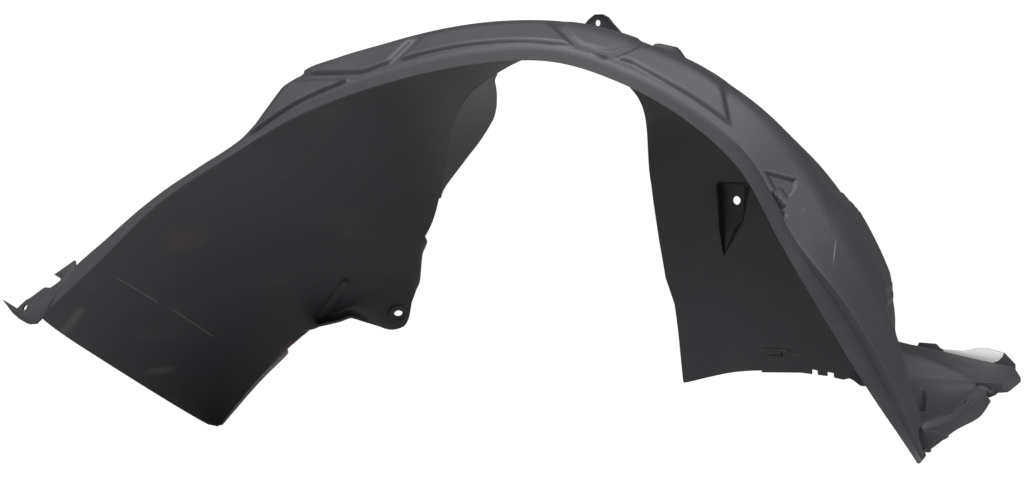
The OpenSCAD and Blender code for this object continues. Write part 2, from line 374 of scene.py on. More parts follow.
# %% The liner's stations
RIM = (
    (-474, 128), (-400, 183), (-323, 243), (-245, 285), (-164, 324), (-73, 351), (15, 366),
    (96, 367), (168, 345), (229, 311), (277, 268), (313, 205), (351, 143), (388, 85), (432, 23),
)
STATIONS = len(RIM) - 1
STRIP_RISE = (6, 6, 4, 4, 10, 11, 12, 12, 11, 11, 10, 9, 15, 14, 3)
STRIP_STEP = (0, 0, 0, 0, 0, 0, 0, 0, 0, 0, 1, 2, 8, 7.5, 1)
BAND_RISE = (20, 20, 8.5, 12, 43, 42.5, 40.5, 36, 35, 39, 39.5, 40, 36, 26, 7)
BAND_DEPTH = (12, 12, 9, 13, 26, 32, 34, 34, 34, 36, 40, 44, 44, 36, 20)
FACET = ((1.2, 0), (1.7, 3), (2.7, 3), (3, 0), (3.2, -3), (3.4, -3), (3.8, 3), (4, 0))


def looked_up(table, u):
    return float(np.interp(u, [p[0] for p in table], [p[1] for p in table]))


def rim_at(u):
    x, z = along(RIM, u)
    return np.array((x, 0.0, z))


def outward(u):
    """Out of the arch, square to the rim."""
    way = unit(along(RIM, min(STATIONS, u + 0.02)) - along(RIM, max(0, u - 0.02)))
    return np.array((-way[1], 0.0, way[0]))


def shoulder(u):
    """The place where the band would turn into the wall, if it weren't rounded."""
    rise = along(BAND_RISE, u) + looked_up(FACET, u)
    return rim_at(u) + outward(u) * rise + np.array((0.0, along(BAND_DEPTH, u), 0.0))


print("stations", STATIONS + 1)

# %% [markdown]
# Two more curves shape the inside. The free edge runs along the rear wall, over the opening for
# the strut and down the inboard wall. The corner between the wall and the inboard wall starts over
# the strut's opening. Behind that, the wall has no second wall, so its corner is put on the
# straight way from the shoulder to the free edge, where it does nothing.

# %% The free edge and the inner corner
CORNER = (
    (98, 105, 379), (164, 176, 353), (220, 200, 304), (271, 206, 259), (312, 206, 207),
    (336, 205, 146), (328, 200, 103), (297, 196, 72),
)
FIRST_CORNER = 7
WAY_TO_CORNER = 0.45
EDGE_REAR = (
    (-437, 260, 0), (-382, 262, 56), (-320, 262, 104), (-245, 257, 144), (-167, 240, 207),
    (-118, 205, 311), (-49, 150, 353), (40, 130, 377), (86, 196, 334), (95, 204, 250),
    (115, 205, 142), (123, 205, 63),
)
EDGE_FRONT = ((123, 205, 63), (181, 205, 75), (243, 203, 76), (285, 203, 71))
EDGE_KINK = ((9, 0), (9.5, -3.5), (9.8, -4.5), (10.05, 0))


def free_edge(u):
    foot = len(EDGE_REAR) - 1
    if u > foot:
        return along(EDGE_FRONT, u - foot)
    return along(EDGE_REAR, u) + np.array((looked_up(EDGE_KINK, u), 0.0, 0.0))


def corner_at(u):
    if u > FIRST_CORNER:
        return along(CORNER, u - FIRST_CORNER)
    middle = shoulder(u) + (free_edge(u) - shoulder(u)) * WAY_TO_CORNER
    share = max(0.0, u - FIRST_CORNER + 1) ** 2
    return middle * (1 - share) + np.array(CORNER[0]) * share


print("free edge's ends in mm", free_edge(0).round(), free_edge(STATIONS).round())

# %% [markdown]
# A section through the liner starts at the rim with the flat strip, steps up on to the band, turns
# over the shoulder into the wall, turns again into the inboard wall and ends at the free edge. It
# always has the same number of places, so that neighbouring sections join up into a grid, and the
# cells are small where the sheet turns or carries detail.

# %% One section through the sheet
STRIP_CELLS, BAND_CELLS, SHOULDER_CELLS = 3, 22, 7
WALL_CELLS, CORNER_CELLS, EDGE_CELLS = 18, 7, 9
SHOULDER_COLUMN = STRIP_CELLS + 1 + BAND_CELLS + SHOULDER_CELLS
CORNER_COLUMN = SHOULDER_COLUMN + WALL_CELLS
STRIP_DEPTH = 3.0
STEP_RUN, STEP_DEPTH = 1.5, 1.0
SHOULDER_ROUND, CORNER_ROUND = 14, 45


def section(u):
    rim, out = rim_at(u), outward(u)
    strip = rim + out * along(STRIP_RISE, u) + np.array((0.0, STRIP_DEPTH, 0.0))
    step = float(along(STRIP_STEP, u))
    foot = strip + out * (STEP_RUN + step) + np.array((0.0, STEP_DEPTH - step, 0.0))
    turn = bend(foot, shoulder(u), corner_at(u), SHOULDER_ROUND, SHOULDER_CELLS)
    fold = bend(shoulder(u), corner_at(u), free_edge(u), CORNER_ROUND, CORNER_CELLS)
    return np.array(
        [rim, *between(rim, strip, STRIP_CELLS), strip, foot]
        + [*between(foot, turn[0], BAND_CELLS), *turn]
        + [*between(turn[-1], fold[0], WALL_CELLS), *fold]
        + [*between(fold[-1], free_edge(u), EDGE_CELLS), free_edge(u)]
    )


print("places in a section", len(section(0)))

# %% [markdown]
# The sheet doesn't end in straight cuts. Its rear end bows out below the foot, and its front end
# bows in behind the tip. So the last rows are pushed along the sheet, most in their middle. The
# rows lie closer together where the panels and pockets are.

# %% The sheet's rows
REAR_BOW, REAR_BOW_POWER = 8, 0.25
FRONT_BOW, FRONT_BOW_POWER = -26, 0.7
ROW_SPANS = ((0, 3.1, 45), (3.1, 9.5, 270), (9.5, 10.9, 120), (10.9, STATIONS, 75))


def bowed(row, end, near, reach, columns, power):
    """A row pushed away along the sheet between two columns, most in the middle."""
    row = row.copy()
    first, last = columns
    for k in range(first + 1, last):
        share = math.sin(math.pi * (k - first) / (last - first)) ** power
        row[k] += unit(end[k] - near[k]) * reach * share
    return row


def sheet_row(u):
    row = section(u)
    if u < 1:
        reach = REAR_BOW * (1 - u) ** 2
        columns = (SHOULDER_COLUMN, len(row) - 1)
        return bowed(row, section(0), section(0.5), reach, columns, REAR_BOW_POWER)
    if u > STATIONS - 1:
        reach = FRONT_BOW * (u - STATIONS + 1) ** 2
        columns = (STRIP_CELLS, CORNER_COLUMN + 2)
        end, near = section(STATIONS), section(STATIONS - 0.5)
        return bowed(row, end, near, reach, columns, FRONT_BOW_POWER)
    return row


spans = [np.linspace(start, end, rows, endpoint=False) for start, end, rows in ROW_SPANS]
stations = np.concatenate([*spans, [STATIONS]])
sheet = np.array([sheet_row(u) for u in stations])
print("rows and columns in the sheet", sheet.shape[:2])

# %% [markdown]
# The pressed details are relief on that sheet. They could be cut with Booleans, but then their
# borders would be sharp. So each is an outline on the surface and a height, and a place rises with
# how far inside the outline it lies, which gives every panel the rounded border that a mould
# leaves. Along the band, a place is known by its way along the rim and by how far out of the arch
# it lies.

# %% Relief from outlines
TINY = 1e-9


def depth_inside(x, y, outline):
    """How far each place lies inside the outline. It is negative outside."""
    outline = np.asarray(outline, float)
    near = np.full(x.shape, np.inf)
    inside = np.zeros(x.shape, bool)
    for (ax, ay), (bx, by) in zip(outline, np.roll(outline, -1, axis=0)):
        dx, dy = bx - ax, by - ay
        share = np.clip(((x - ax) * dx + (y - ay) * dy) / max(dx * dx + dy * dy, TINY), 0, 1)
        near = np.minimum(near, np.hypot(x - ax - share * dx, y - ay - share * dy))
        if dy:
            inside ^= ((ay > y) != (by > y)) & (x < ax + (y - ay) / dy * dx)
    return np.where(inside, near, -near)


def swell(depth, border):
    """From 0 at an outline to 1 at its border's inner side, with a soft start and end."""
    share = np.clip(depth / border, 0, 1)
    return share * share * (3 - 2 * share)


def surface_normals(places):
    square = np.cross(np.gradient(places, axis=0), np.gradient(places, axis=1))
    return square / np.maximum(np.linalg.norm(square, axis=-1, keepdims=True), TINY)


rim_steps = np.linalg.norm(np.diff(sheet[:, 0], axis=0), axis=1)
rim_length = np.concatenate(([0.0], np.cumsum(rim_steps)))
way_along = np.repeat(rim_length[:, None], sheet.shape[1], axis=1)
out_ways = np.array([outward(u) for u in stations])
way_out = np.einsum("ijk,ik->ij", sheet - sheet[:, :1], out_ways)
columns = np.arange(sheet.shape[1])
on_panels = (columns > STRIP_CELLS + 1) & (columns <= SHOULDER_COLUMN)
print("rim length in mm", round(rim_length[-1]))

# %% [markdown]
# The band carries a row of stiffening panels. A panel is given by a few ribs across it, each by
# the station and the reach of its two ends, because its sides follow the rim. The first number is
# its share of the full height. Narrow beads and two lens-shaped swellings lie between the panels,
# and two pockets near the front are pressed the other way. The pockets' outlines are in side view.

# %% The band's panels and pockets
PANEL_HEIGHT = 3.4
PANEL_BORDER, LOW_PANEL_BORDER, POCKET_BORDER = 3.2, 2.5, 2.3
LOW_PANEL = 0.6
PANELS = (
    (1.0, (
        (3.18, 1, 3.2, 3), (3.5, 1.5, 3.52, 15), (3.8, 2.5, 3.79, 29), (3.98, 3.2, 3.95, 36),
        (4.13, 4, 4.14, 29), (4.38, 5.5, 4.4, 20.5), (4.69, 8, 4.7, 11))),
    (1.0, (
        (4.05, 37, 4.02, 41), (4.2, 31, 4.2, 41), (4.45, 22.5, 4.45, 40), (4.74, 14.5, 4.7, 39),
        (4.9, 15, 4.95, 38), (5.07, 16, 5.33, 36))),
    (1.0, (
        (5.15, 15, 5.41, 35.5), (5.5, 15.5, 5.7, 35), (5.9, 15.5, 6, 34.5), (6.3, 14.7, 6.3, 34),
        (6.65, 13.5, 6.55, 34), (7, 13, 6.68, 34), (7.26, 14, 6.75, 34))),
    (0.5, (
        (6.97, 28, 6.9, 34), (7.13, 21, 7.13, 34), (7.3, 17.5, 7.3, 34), (7.5, 17.3, 7.5, 34),
        (7.62, 18.6, 7.64, 34), (7.69, 23, 7.75, 34))),
    (1.0, (
        (7.72, 14.8, 7.88, 32), (7.95, 16, 8, 33.5), (8.2, 15, 8.2, 34), (8.5, 14.6, 8.5, 35),
        (8.9, 15.3, 8.75, 35.5), (9.2, 15.8, 8.88, 35.5), (9.49, 16.2, 8.97, 35))),
    (0.9, ((7.32, 1, 7.42, 14.3), (7.6, 2, 7.54, 15), (7.88, 3.6, 7.64, 15.6))),
    (0.7, ((4.78, 0, 4.79, 10.8), (4.95, 0, 4.9, 12), (5.12, 0.6, 5.01, 11))),
    (0.5, (
        (5.42, 8.6, 5.42, 9.8), (5.7, 7.8, 5.7, 11.6), (6.1, 7.4, 6.1, 11.6), (6.5, 6.4, 6.5, 11),
        (6.85, 5.6, 6.85, 10.4), (7.12, 6.8, 7.12, 8))),
    (0.5, (
        (7.94, 9.6, 7.94, 10.4), (8.12, 7.8, 8.12, 12.2), (8.36, 7.4, 8.36, 11.8),
        (8.6, 10.4, 8.6, 11.4))),
)
POCKETS = (
    (5, ((284, 267), (293, 265), (314, 238), (316, 230), (315, 226), (286, 261))),
    (3.5, ((294, 270), (317, 261), (318, 254), (314, 243), (308, 252), (305, 250))),
)


def on_rim(u):
    return float(np.interp(u, stations, rim_length))


def outline_of(ribs):
    near_rim = [(on_rim(u), r) for u, r, _, _ in ribs]
    far_out = [(on_rim(u), r) for _, _, u, r in reversed(ribs)]
    return near_rim + far_out


relief = np.zeros(sheet.shape[:2])
for share, ribs in PANELS:
    depths = depth_inside(way_along, way_out, outline_of(ribs))
    border = PANEL_BORDER if share > LOW_PANEL else LOW_PANEL_BORDER
    relief += on_panels * share * PANEL_HEIGHT * swell(depths, border)
for depth, outline in POCKETS:
    depths = depth_inside(sheet[..., 0], sheet[..., 2], outline)
    relief -= on_panels * depth * swell(depths, POCKET_BORDER)
print("relief in mm from", round(relief.min(), 1), "to", round(relief.max(), 1))

# %% [markdown]
# The front limb's wall carries a raised pad, which rises in two steps. Its outlines are in front
# view, Y and Z. Where they overlap, the higher one counts. With the last of the relief in place,
# every place moves along the surface's own normal.

# %% Relief on the front limb's wall
PAD = (
    (2.4, (
        (62, 240), (68, 248), (152, 244), (182, 225), (182, 166), (154, 146), (68, 148),
        (62, 156))),
    (4.6, (
        (70, 231), (78, 239), (148, 236), (174, 220), (174, 170), (148, 154), (76, 157),
        (70, 166))),
)
PAD_FROM, PAD_TO = 10.2, 12.6
PAD_BORDER = 4
on_wall = (columns > SHOULDER_COLUMN - 3) & (columns < CORNER_COLUMN + CORNER_CELLS)
on_front_limb = (stations[:, None] > PAD_FROM) & (stations[:, None] < PAD_TO)
pad = np.zeros(relief.shape)
for height, outline in PAD:
    depths = depth_inside(sheet[..., 1], sheet[..., 2], outline)
    pad = np.maximum(pad, height * swell(depths, PAD_BORDER))
relief += on_wall * on_front_limb * pad
pressed_sheet = sheet + surface_normals(sheet) * relief[..., None]
print("pad's height in mm", round(pad.max(), 1))

# %% [markdown]
# A grid of places becomes a mesh through bmesh's own grid: it is created with as many cells and
# each corner is moved to its place. The second face could be built in the same way, but a Solidify
# modifier gives the wall its thickness evenly, half to each side, and closes the edges as well.

# %% From places to shells


def to_frame(places):
    return (np.asarray(places, float) - SCREW) * MM


def shell_object(name, cells, thickness=0.0):
    mesh = bpy.data.meshes.new(name)
    cells.to_mesh(mesh)
    cells.free()
    shell = bpy.data.objects.new(name, mesh)
    bpy.context.scene.collection.objects.link(shell)
    if thickness:
        solid = shell.modifiers.new("thickness", "SOLIDIFY")
        solid.thickness = thickness * MM
        solid.offset = 0.0
    return shell


def grid_object(name, places, thickness=WALL):
    places = to_frame(places)
    rows, across = places.shape[0] - 1, places.shape[1] - 1
    cells = bmesh.new()
    bmesh.ops.create_grid(cells, x_segments=rows, y_segments=across, size=0.5)
    for corner in cells.verts:
        i, j = round((corner.co.x + 0.5) * rows), round((corner.co.y + 0.5) * across)
        corner.co = places[i, j]
    return shell_object(name, cells, thickness)


print("rim's rear end in the frame, in m", to_frame(sheet[0, 0]).round(4))

# %% [markdown]
# The small parts of the moulding are flat plates. Each is an outline in the plate's own plane,
# extruded by its thickness, and all its edges get a small bevel, as a mould leaves them. Openings
# are cut with exact Booleans, because a cut outline stays crisp where the grid is coarse.

# %% Flat plates and cuts
PLATE_ROUND = 0.4


def prism(name, outline, place, across, up, thickness, rounding=PLATE_ROUND):
    """A flat plate: its outline in its own plane, and how thick it is."""
    across, up = unit(np.asarray(across, float)), unit(np.asarray(up, float))
    through = np.cross(across, up)
    plate = bmesh.new()
    base = np.asarray(place, float) - through * thickness / 2
    corners = [plate.verts.new(to_frame(base + across * a + up * b)) for a, b in outline]
    face = plate.faces.new(corners)
    moved = bmesh.ops.extrude_face_region(plate, geom=[face])["geom"]
    top = [item for item in moved if isinstance(item, bmesh.types.BMVert)]
    bmesh.ops.translate(plate, verts=top, vec=Vector(through * thickness * MM))
    bmesh.ops.recalc_face_normals(plate, faces=plate.faces)
    if rounding:
        bmesh.ops.bevel(
            plate, geom=plate.edges, offset=rounding * MM, segments=2, profile=0.5,
            affect="EDGES", material=-1,
        )
    return shell_object(name, plate)


def side_plate(name, outline, y, thickness, rounding=PLATE_ROUND):
    """A plate across the axle, drawn in side view: X and Z."""
    return prism(name, outline, (0, y, 0), (1, 0, 0), (0, 0, 1), thickness, rounding)


def settle(shell):
    """Turn a shell's modifiers into its mesh."""
    graph = bpy.context.evaluated_depsgraph_get()
    mesh = bpy.data.meshes.new_from_object(shell.evaluated_get(graph))
    shell.modifiers.clear()
    shell.data = mesh


def cut_from(shell, *cutters):
    """Take the cutters out of a shell, and keep the plain result."""
    for cutter in cutters:
        cut = shell.modifiers.new("cut", "BOOLEAN")
        cut.operation = "DIFFERENCE"
        cut.solver = "EXACT"
        cut.object = cutter
    settle(shell)
    for cutter in cutters:
        bpy.data.objects.remove(cutter)


print("plates' bevel in mm", PLATE_ROUND)

# %% [markdown]
# The sheet comes first, with its openings: the mouth of the clip pocket and two notches in the
# foot of the inboard wall. The foot of the inboard wall is also thicker on the wheel's side. Relief
# on the sheet would come out wavy there, so a flat patch lies on it, with a small ledge above.

# %% The sheet with its openings
INBOARD_WALL_Y = 204
CUTTER_LENGTH = 30
CLIP_MOUTH = (
    (161.5, 250), (165, 252.5), (190, 251), (196, 248), (189, 215), (175.5, 193.5), (167, 182),
    (162.5, 207),
)
NOTCHES = (
    ((253, 50), (254, 79), (260, 78), (261, 50)),
    ((268, 50), (269, 77), (276, 76), (277, 50)),
)
FOOT_PATCH = (
    (204, 97), (229, 97), (233, 94), (262, 92), (284, 91), (284, 71.5), (243, 75.5), (204, 75),
)
PATCH_Y, PATCH_THICKNESS = 202.9, 2.2
LEDGE = ((209, 95), (225, 94), (225, 91.5), (209, 92.5))
LEDGE_Y, LEDGE_THICKNESS = 200.9, 2.4
SMALL_ROUND = 0.3


def notched(shell, outlines):
    openings = [
        side_plate("opening", outline, INBOARD_WALL_Y, CUTTER_LENGTH, 0) for outline in outlines
    ]
    cut_from(shell, *openings)
    return shell


sheet_shell = notched(grid_object("liner_moulding", pressed_sheet), [CLIP_MOUTH, *NOTCHES])
patch_shell = side_plate("foot_patch", FOOT_PATCH, PATCH_Y, PATCH_THICKNESS, SMALL_ROUND)
patch_shell = notched(patch_shell, NOTCHES)
ledge_shell = side_plate("ledge", LEDGE, LEDGE_Y, LEDGE_THICKNESS, SMALL_ROUND)
print("faces in the sheet", len(sheet_shell.data.polygons))

# %% [markdown]
# Behind that mouth lies the pocket itself: a flat floor with the clip's hole, a slope to the front
# and a ramp at the lower end. Two loops of edges, the mouth and the floor, are bridged. Holes are
# cut with a round bit, here and in the other fixings.

# %% The clip pocket
MOUTH_Y = (204.2,) * len(CLIP_MOUTH)
CLIP_FLOOR = (
    (162.5, 248.5), (165.5, 250), (182, 249), (186, 246), (184, 216), (175, 206), (168, 187),
    (163.5, 209),
)
FLOOR_Y = (215.2, 215.2, 215.2, 215.2, 215.2, 213, 207, 214.2)
INBOARD_CLIP = (407.06, -68.05, 116.3)
INBOARD_CLIP_HOLE = 8.0
BIT_SIDES = 48
BIT_LENGTH = 20


def drill(place, axis, diameter, length=BIT_LENGTH):
    """A round cutter along an axis, from its place in the frame in millimetres."""
    radius = diameter / 2 * MM
    bit = bmesh.new()
    bmesh.ops.create_cone(
        bit, cap_ends=True, segments=BIT_SIDES, radius1=radius, radius2=radius, depth=length * MM
    )
    turn = Vector(axis).to_track_quat("Z", "Y").to_matrix().to_4x4()
    there = Matrix.Translation(Vector(place) * MM)
    bmesh.ops.transform(bit, matrix=there @ turn, verts=bit.verts)
    return shell_object("drill", bit)


def clip_pocket():
    pocket = bmesh.new()
    loops = []
    for outline, depths in ((CLIP_MOUTH, MOUTH_Y), (CLIP_FLOOR, FLOOR_Y)):
        corners = [
            pocket.verts.new(to_frame((x, y, z))) for (x, z), y in zip(outline, depths)
        ]
        loops.append([pocket.edges.new(ends) for ends in zip(corners, corners[1:] + corners[:1])])
    bmesh.ops.bridge_loops(pocket, edges=loops[0] + loops[1])
    floor = bmesh.ops.contextual_create(pocket, geom=loops[1])["faces"]
    bmesh.ops.triangulate(pocket, faces=floor)
    bmesh.ops.recalc_face_normals(pocket, faces=pocket.faces)
    return shell_object("clip_pocket", pocket, WALL)


pocket_shell = clip_pocket()
settle(pocket_shell)
cut_from(pocket_shell, drill(INBOARD_CLIP, (0, 1, 0), INBOARD_CLIP_HOLE))
print("clip pocket's depth in mm", FLOOR_Y[0] - MOUTH_Y[0])

# %% [markdown]
# The wall's free edge carries lips that run inboard: one along the rear foot, and a tall one at
# the opening for the strut. Each stands up from the edge itself, so it follows the wall without
# any fitting, and is given by stations and heights.

# %% Lips
FOOT_LIP = ((0.02, 6), (0.4, 8), (0.9, 11), (1.35, 13), (1.5, 3))
STRUT_LIP = (
    (4.3, 3), (4.4, 9), (4.6, 39), (4.8, 67), (5, 80), (5.2, 77), (5.4, 67), (5.6, 54), (5.8, 37),
    (6, 16), (6.15, 3),
)
LIP_ROWS, LIP_CELLS = 6, 4


def lip(name, table):
    last = len(table) - 1
    rows = []
    for k in np.linspace(0, last, LIP_ROWS * last + 1):
        u, height = along(table, k)
        edge = free_edge(u)
        steps = np.linspace(0, 1, LIP_CELLS + 1)
        rows.append([edge + np.array((0.0, height * s, 0.0)) for s in steps])
    return grid_object(name, rows)


shells = [sheet_shell, patch_shell, ledge_shell, pocket_shell]
shells += [lip("foot_lip", FOOT_LIP), lip("strut_lip", STRUT_LIP)]
print("the lips' greatest heights in mm", [max(h for _, h in t) for t in (FOOT_LIP, STRUT_LIP)])

# %% [markdown]
# The rear ear is a screwed tab. It carries on from the wall's free edge and curves down into the
# plane of its screw. A flat plate would meet the wall in a sharp corner, so every line of the ear
# starts in the wall's own direction and bends towards the ear's outline.

# %% The rear ear
EAR_AT = np.array((-244.0, 256.0, 141.0))
EAR_NORMAL = unit(np.array((0.53, -0.69, -0.49)))
EAR_A = np.array((0.8, -0.12, 0.59))
EAR_A = unit(EAR_A - EAR_NORMAL * (EAR_A @ EAR_NORMAL))
EAR_B = np.cross(EAR_NORMAL, EAR_A)
EAR_FROM, EAR_TO = 2.1, 3.9
EAR_OUTLINE = (
    (-76, 34), (-64, 24), (-53, 14), (-45, 7), (-36, 1), (-34, -4), (-32, -15), (-29, -30),
    (-28, -37), (-25, -44), (-20, -49), (-14, -52), (-7, -51), (0, -48), (12, -41), (17, -39),
    (27, -35), (38, -31), (55, -17), (68, -11),
)
EAR_ROWS, EAR_CELLS, EAR_LEAD = 5, 12, 0.3


def ear_rows():
    last = len(EAR_OUTLINE) - 1
    rows = []
    for k in np.linspace(0, last, EAR_ROWS * last + 1):
        a, b = along(EAR_OUTLINE, k)
        end = EAR_AT + EAR_A * a + EAR_B * b
        wall_row = sheet_row(EAR_FROM + (EAR_TO - EAR_FROM) * k / last)
        start = wall_row[-1]
        onward = unit(start - wall_row[-3]) * np.linalg.norm(end - start)
        rows.append(arc(start, start + onward * EAR_LEAD, end, EAR_CELLS))
    return rows


ear_shell = grid_object("ear", ear_rows())
print("faces in the ear", len(ear_shell.data.polygons))

# %% [markdown]
# The ear's hole is where the screw sits, so the plastic round it is thicker: a ring with a dished
# face for the screw's head. It is a round plate, and the dish and the hole are cut with the bit. A
# low rib lies on the wall beside the ear. Its sections are curves over a crest.

# %% The ear's rib, ring and screw hole
EAR_RIB = (
    ((-258, 223, 156), (-255, 226, 156), (-257, 234, 151)),
    ((-270, 229, 147), (-268, 233, 146), (-265, 240, 143)),
    ((-288, 239, 133), (-283, 242, 133), (-278, 249, 131)),
    ((-307, 249, 118), (-302, 253, 117), (-295, 260, 117)),
)
EAR_RIB_ROWS, EAR_RIB_CELLS = 12, 8
EAR_RIB_WIDTH, EAR_RIB_END = 0.55, 0.08
EAR_RIB_RISE = np.array((0.8, -3.4, -2.7))
RING_RADIUS, RING_HEIGHT, RING_ROUND = 10.5, 4.4, 0.8
DISH_DIAMETER, DISH_AT = 14.0, 3.2
REAR_SCREW_HOLE = 9.0
AT_SCREW = (0, 0, 0)


def rib_rows():
    last = len(EAR_RIB) - 1
    rows = []
    for k in np.linspace(0, last, EAR_RIB_ROWS + 1):
        left, crest, right = (along([line[i] for line in EAR_RIB], k) for i in range(3))
        share = min(max(k / last, EAR_RIB_END), 1 - EAR_RIB_END)
        taper = math.sin(math.pi * share) ** 0.5
        left = crest + (left - crest) * EAR_RIB_WIDTH
        right = crest + (right - crest) * EAR_RIB_WIDTH
        rows.append(arc(left, crest + EAR_RIB_RISE * taper, right, EAR_RIB_CELLS))
    return rows


turns = np.linspace(0, 2 * math.pi, BIT_SIDES, endpoint=False)
ring_outline = [(RING_RADIUS * math.cos(t), RING_RADIUS * math.sin(t)) for t in turns]
ring_shell = prism("ear_ring", ring_outline, SCREW, EAR_A, EAR_B, RING_HEIGHT, RING_ROUND)
axis = tuple(EAR_NORMAL)
dish = drill(tuple(EAR_NORMAL * DISH_AT), axis, DISH_DIAMETER, RING_HEIGHT)
cut_from(ring_shell, dish, drill(AT_SCREW, axis, REAR_SCREW_HOLE, 30))
cut_from(ear_shell, drill(AT_SCREW, axis, REAR_SCREW_HOLE, 60))
shells += [ear_shell, ring_shell, grid_object("ear_rib", rib_rows())]
print("dish's depth in mm", round(RING_HEIGHT - DISH_AT, 1))

# %% [markdown]
# The small toothed foot at the rear end of the rim is flat, and a screw holds it as well. So it is
# a plate, drawn in its own plane, with its teeth in the outline.

# %% The rear foot
FOOT_AT = np.array((-479.0, 0.0, 129.0))
FOOT_A = unit(np.array((0.821, 0.0, 0.571)))
FOOT_B = np.array((-0.475, 0.554, 0.684))
FOOT_B = unit(FOOT_B - FOOT_A * (FOOT_B @ FOOT_A))
FOOT_OUTLINE = (
    (-35, 57), (-15, 29), (-2, 30), (5, 28), (24, 26), (27, 25), (34, 19), (49, 17), (49, 20),
    (41, 31), (71, 27), (71, 14), (40, 6), (18, -8), (9, -9), (0, -3), (-4, 1), (-13, 13),
    (-22, 28),
)
FOOT_SCREW = FOOT_A * -4 + FOOT_B * 22 + FOOT_AT - SCREW
FOOT_SCREW_HOLE = 7.0
foot_shell = prism("rear_foot", FOOT_OUTLINE, FOOT_AT, FOOT_A, FOOT_B, WALL)
cut_from(foot_shell, drill(tuple(FOOT_SCREW), tuple(np.cross(FOOT_A, FOOT_B)), FOOT_SCREW_HOLE))
shells.append(foot_shell)
print("foot's screw in mm", FOOT_SCREW.round(1))

# %% [markdown]
# The under-tray flap is lofted through eight lines that run from the wall to its free end, which
# gives its folds without a profile for each place. It is bent along the lines: a beam on top, a
# steep recess under it and a leaf with a rib at the bottom. The rib, the hollow over the leaf and
# a slot are relief, as on the band. They fade out towards both ends of the flap.

# %% The flap
FLAP_LINES = (
    ((426, 8, 27), (437, 24, 35), (446, 52, 46), (456, 84, 54), (457, 112, 65)),
    ((407, 44, 40), (421, 58, 45), (434, 84, 51), (439, 112, 59), (444, 138, 68)),
    ((402, 50, 45), (417, 62, 47), (430, 90, 53), (434, 116, 61), (438, 142, 70)),
    ((402, 50, 48), (416, 64, 51), (427, 92, 56), (431, 120, 65), (434, 146, 73)),
    ((364, 134, 76), (381, 140, 74), (403, 148, 74), (427, 156, 74), (447, 150, 68)),
    ((342, 168, 106), (363, 168, 99), (392, 166, 90), (430, 160, 75), (457, 160, 68)),
    ((332, 184, 108), (353, 184, 102), (383, 182, 94), (421, 180, 83), (463, 178, 76)),
    ((324, 196, 110), (348, 196, 104), (376, 196, 99), (414, 196, 91), (450, 196, 85)),
)
FLAP_ROWS, FLAP_CELLS = 60, 8
FLAP_RIB, FLAP_HOLLOW, FLAP_END = 3.5, 6.0, 0.03
FLAP_SLOT = ((387, 71), (391, 71), (401, 63), (400, 61), (394, 62))
SLOT_DEPTH, SLOT_BORDER = 5.0, 1.2
SLOT_FROM, SLOT_TO = 90, 145


def flap_rows():
    rows = []
    for k in np.linspace(0, len(FLAP_LINES[0]) - 1, FLAP_ROWS + 1):
        knots = [along(line, k) for line in FLAP_LINES]
        row = []
        for a, b in zip(knots, knots[1:]):
            row += [a + (b - a) * i / FLAP_CELLS for i in range(FLAP_CELLS)]
        row = np.array([*row, knots[-1]])
        eased = row.copy()
        eased[1:-1] = (row[:-2] + 2 * row[1:-1] + row[2:]) / 4
        rows.append(eased)
    return np.array(rows)


flap = flap_rows()
slot = swell(depth_inside(flap[..., 0], flap[..., 2], FLAP_SLOT), SLOT_BORDER)
slot = slot * (flap[..., 1] > SLOT_FROM) * (flap[..., 1] < SLOT_TO)
line_number = np.arange(flap.shape[1]) / FLAP_CELLS
rib = FLAP_RIB * np.sin(math.pi * np.clip((line_number - 1) / 2, 0, 1))
hollow = FLAP_HOLLOW * np.sin(math.pi * np.clip(line_number - 3, 0, 1))
fade = np.sin(math.pi * np.linspace(FLAP_END, 1 - FLAP_END, flap.shape[0])) ** 0.5
pressed = fade[:, None] * (rib - hollow) - SLOT_DEPTH * slot
flap = flap + surface_normals(flap) * pressed[..., None]
shells.append(grid_object("flap", flap))
print("flap's relief in mm", pressed.min().round(1), "to", pressed.max().round(1))

# %% [markdown]
# The flap's small parts are flat plates in side view: the lip that the sticker is on, the hook
# under the inboard corner and the clip ear at the front tip with its slit.

# %% The flap's lip, hook and clip ear
LABEL_LIP_Y, HOOK_Y, CLIP_EAR_Y = 196.0, 151.2, 19.2
LABEL_LIP = (
    (345, 104), (359, 102), (361, 106), (377, 105), (381, 101), (384, 100), (402, 99), (415, 102),
    (424, 102), (441, 98), (448, 91), (451, 88), (451, 83), (428, 84), (385, 92), (345, 98),
)
HOOK = ((430, 76), (431, 67), (434, 63), (443, 63), (448, 65), (450, 67), (455, 70), (455, 76))
CLIP_EAR = (
    (421, 46), (428, 52), (433, 48), (439, 49), (453, 44), (450, 42), (442, 38), (437, 34),
    (436, 30), (431, 30), (432, 27), (426, 20), (421, 28),
)
CLIP_SLIT = ((435, 41), (441, 45), (442, 43), (437, 39))
clip_ear_shell = side_plate("clip_ear", CLIP_EAR, CLIP_EAR_Y, WALL)
cut_from(clip_ear_shell, side_plate("slit", CLIP_SLIT, CLIP_EAR_Y, BIT_LENGTH, 0))
shells += [
    side_plate("label_lip", LABEL_LIP, LABEL_LIP_Y + WALL / 2, WALL),
    side_plate("hook", HOOK, HOOK_Y, WALL),
    clip_ear_shell,
]
print("shells so far", len(shells))

# %% [markdown]
# Two lugs stand on top of the wall, where the wing's brace lies. The larger one has a thin raised
# border round its outboard face, and a clip hole near its tip. The border is what is left when
# the face inside it is inset and sunk.

